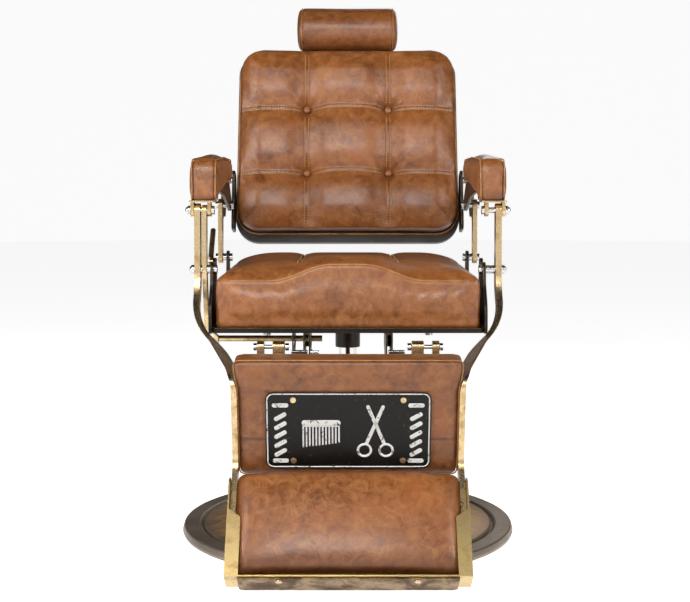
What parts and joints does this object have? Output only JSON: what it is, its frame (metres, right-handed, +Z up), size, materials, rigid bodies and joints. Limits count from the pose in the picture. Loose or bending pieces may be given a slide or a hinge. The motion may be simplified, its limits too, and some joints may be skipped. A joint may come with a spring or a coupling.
{
  "type": "hydraulic barber chair",
  "caption": "Barber chair with tufted reclining back, linked armrests and leg panel with footrest, sliding headrest and a round base with a foot-pumped hydraulic lift and swivel.",
  "frame": {"origin": "centre of the round base's underside, on the floor", "axes": "+Z up, +Y towards the rear of the chair, +X to the sitter's left"},
  "size_m": [0.7194, 1.0278, 1.1784],
  "materials": {
    "leather": "distressed cognac leather, semi-gloss",
    "antique_brass": "antique brass paint, rubbed and spotted",
    "base_metal": "dark bronze, rubbed",
    "dark_steel": "dark brown satin paint",
    "shell": "dark satin",
    "chrome": "polished",
    "steel": "bright zinc",
    "rubber": "matte",
    "plywood": "plain plywood",
    "knob": "matte black",
    "sign": "black enamel with worn white relief"
  },
  "bodies": {
    "base": {"base_plate": "base_metal", "base_dome": "base_metal", "pump_flange": "dark_steel", "pump_housing": "dark_steel", "flange_bolts": "steel", "pedal_bracket": "dark_steel", "pedal_pin": "steel"},
    "pedal": {"pedal_arm": "dark_steel", "pedal_rubber": "rubber"},
    "lift": {"piston_rod": "chrome", "piston_head": "steel"},
    "seat": {"swivel_cap": "dark_steel", "seat_plate": "dark_steel", "seat_bolts": "steel", "seat_pan": "dark_steel", "side_plate_left": "dark_steel", "side_plate_right": "dark_steel", "seat_cushion": "leather", "guide_plate": "dark_steel", "guide_post_left": "dark_steel", "guide_post_right": "dark_steel", "buffer_blocks": "rubber", "lock_bolt": "steel", "pivot_bolts": "steel", "pivot_spacers": "steel", "handle_pin": "steel"},
    "handle": {"recline_handle": "antique_brass"},
    "back": {"back_cushion": "leather", "back_board": "plywood", "back_shell": "shell", "back_buttons": "leather", "rear_arm_left": "antique_brass", "rear_arm_right": "antique_brass", "side_bracket_left": "dark_steel", "side_bracket_right": "dark_steel", "back_bolts": "steel", "headrest_sleeve": "steel", "clamp_knob": "knob"},
    "headrest": {"headrest_post": "steel", "headrest_cushion": "leather"},
    "armrest_left": {"armrest_pad_left": "leather", "armrest_rail_left": "dark_steel", "armrest_fork_left": "antique_brass"},
    "armrest_right": {"armrest_pad_right": "leather", "armrest_rail_right": "dark_steel", "armrest_fork_right": "antique_brass"},
    "legs": {"lever_left": "antique_brass", "lever_right": "antique_brass", "drive_bar": "antique_brass", "cross_shaft": "antique_brass", "front_arm_bolts": "steel", "legrest_board": "plywood", "legrest_cushion": "leather", "sign_plate": "sign", "trim_screws": "steel", "legrest_lugs": "antique_brass", "lug_bolts": "steel", "footrest_tray": "antique_brass", "footrest_pad": "leather", "footrest_apron": "antique_brass"}
  },
  "joints": [
    {"name": "lift_slide", "type": "slide", "parent": "base", "child": "lift", "axis": [0, 0, 1], "range_m": [0, 0.15]},
    {"name": "seat_swivel", "type": "hinge", "parent": "lift", "child": "seat", "pos_m": [0, 0, 0.42], "axis": [0, 0, 1], "continuous": true},
    {"name": "foot_pedal", "type": "hinge", "parent": "base", "child": "pedal", "pos_m": [0, 0.084, 0.088], "axis": [-1, 0, 0], "range_deg": [0, 10], "stiffness_Nm_per_rad": 14, "springref_deg": -34.38},
    {"name": "back_recline", "type": "hinge", "parent": "seat", "child": "back", "pos_m": [0, 0.16, 0.584], "axis": [-1, 0, 0], "range_deg": [0, 35]},
    {"name": "leg_lever", "type": "hinge", "parent": "seat", "child": "legs", "pos_m": [0, -0.2, 0.582], "axis": [-1, 0, 0], "range_deg": [0, 35]},
    {"name": "armrest_left_pivot", "type": "hinge", "parent": "back", "child": "armrest_left", "pos_m": [0.28, 0.16, 0.704], "axis": [-1, 0, 0], "range_deg": [-35, 0]},
    {"name": "armrest_right_pivot", "type": "hinge", "parent": "back", "child": "armrest_right", "pos_m": [-0.28, 0.16, 0.704], "axis": [-1, 0, 0], "range_deg": [-35, 0]},
    {"name": "headrest_slide", "type": "slide", "parent": "back", "child": "headrest", "axis": [0, 0.2198, 0.9755], "range_m": [0, 0.1]},
    {"name": "recline_lever", "type": "hinge", "parent": "seat", "child": "handle", "pos_m": [-0.281, -0.15, 0.59], "axis": [1, 0, 0], "range_deg": [0, 15], "stiffness_Nm_per_rad": 1.2, "springref_deg": -22.92}
  ],
  "couplings": [
    {"joint": "leg_lever", "follows": "back_recline", "ratio": 1},
    {"joint": "armrest_left_pivot", "follows": "back_recline", "ratio": -1},
    {"joint": "armrest_right_pivot", "follows": "back_recline", "ratio": -1}
  ]
}
